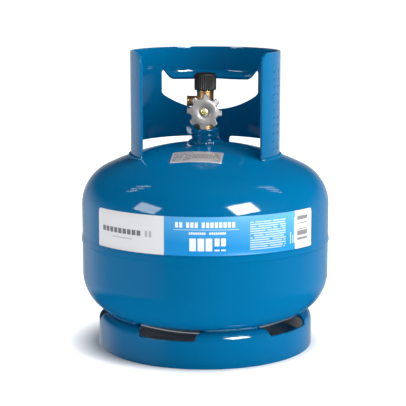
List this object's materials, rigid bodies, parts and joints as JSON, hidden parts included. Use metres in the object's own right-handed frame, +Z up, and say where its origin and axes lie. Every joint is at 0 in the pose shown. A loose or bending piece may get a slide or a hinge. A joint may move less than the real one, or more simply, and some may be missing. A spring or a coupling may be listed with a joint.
{
  "type": "gas cylinder",
  "caption": "Refillable steel gas cylinder with dished ends, foot ring, rolled carry guard, hand-turned shut-off valve, sprung relief valve and capped outlet.",
  "frame": {"origin": "centre of the foot ring's underside, on the floor", "axes": "+Z up along the vessel's axis, -Y towards the handwheel and the front of the guard, +X to the right seen from the front"},
  "size_m": [0.252, 0.252, 0.2975],
  "materials": {
    "blue_paint": "gloss enamel on steel",
    "label_print": "printed vinyl",
    "stamped_plate": "satin, stamped",
    "valve_brass": "machined and forged",
    "zinc_casting": "die-cast, matt",
    "zinc_plating": "zinc plated",
    "yellow_passivation": "yellow passivated",
    "black_plastic": "moulded",
    "seal_rubber": "matt",
    "spring_steel": "drawn wire"
  },
  "bodies": {
    "cylinder": {"upper_shell": "blue_paint", "lower_shell": "blue_paint", "girth_weld": "blue_paint", "neck_boss": "blue_paint", "neck_weld": "blue_paint", "valve_guard": "blue_paint", "guard_welds": "blue_paint", "foot_ring": "blue_paint", "foot_ring_welds": "blue_paint", "wrap_label": "label_print", "data_plate": "stamped_plate", "valve_body": "valve_brass", "gland_nut": "valve_brass", "relief_plug": "valve_brass", "dip_tube": "valve_brass", "gland_packing": "seal_rubber", "relief_spring": "spring_steel"},
    "handwheel": {"handwheel": "zinc_casting", "handwheel_washer": "zinc_plating", "handwheel_screw": "yellow_passivation", "spindle": "valve_brass"},
    "valve_plug": {"valve_plug": "valve_brass", "seat_disc": "seal_rubber"},
    "cap_gasket": {"cap_gasket": "seal_rubber"},
    "outlet_cap": {"outlet_cap": "black_plastic"},
    "relief_poppet": {"relief_poppet": "valve_brass", "relief_seal": "seal_rubber"},
    "bleed_seal": {"bleed_seal": "seal_rubber"},
    "bleed_screw": {"bleed_screw": "valve_brass"}
  },
  "joints": [
    {"name": "wheel_turn", "type": "hinge", "parent": "cylinder", "child": "handwheel", "pos_m": [0, -0.02, 0.239], "axis": [0, -1, 0], "range_deg": [0, 720]},
    {"name": "plug_travel", "type": "slide", "parent": "handwheel", "child": "valve_plug", "axis": [0, -1, 0], "range_m": [0, 0.0025]},
    {"name": "cap_lift", "type": "slide", "parent": "cylinder", "child": "cap_gasket", "axis": [0, 0, 1], "range_m": [0, 0.01404]},
    {"name": "cap_turn", "type": "hinge", "parent": "cap_gasket", "child": "outlet_cap", "pos_m": [0, 0, 0.265], "axis": [0, 0, -1], "range_deg": [0, 3780]},
    {"name": "relief_lift", "type": "slide", "parent": "cylinder", "child": "relief_poppet", "axis": [-1, 0, 0], "range_m": [0, 0.0015], "stiffness_N_per_m": 8000, "springref_m": -0.004, "deforming": ["relief_spring"]},
    {"name": "bleed_lift", "type": "slide", "parent": "cylinder", "child": "bleed_seal", "axis": [-0.6428, -0.766, 0], "range_m": [0, 0.001]},
    {"name": "bleed_turn", "type": "hinge", "parent": "bleed_seal", "child": "bleed_screw", "pos_m": [-0.00579, -0.00689, 0.226], "axis": [-0.6428, -0.766, 0], "range_deg": [0, 720]}
  ],
  "couplings": [
    {"joint": "plug_travel", "follows": "wheel_turn", "m_per_rad": 0.00019894},
    {"joint": "cap_lift", "follows": "cap_turn", "m_per_rad": 0.00021276},
    {"joint": "bleed_turn", "follows": "bleed_lift", "rad_per_m": 12566}
  ]
}
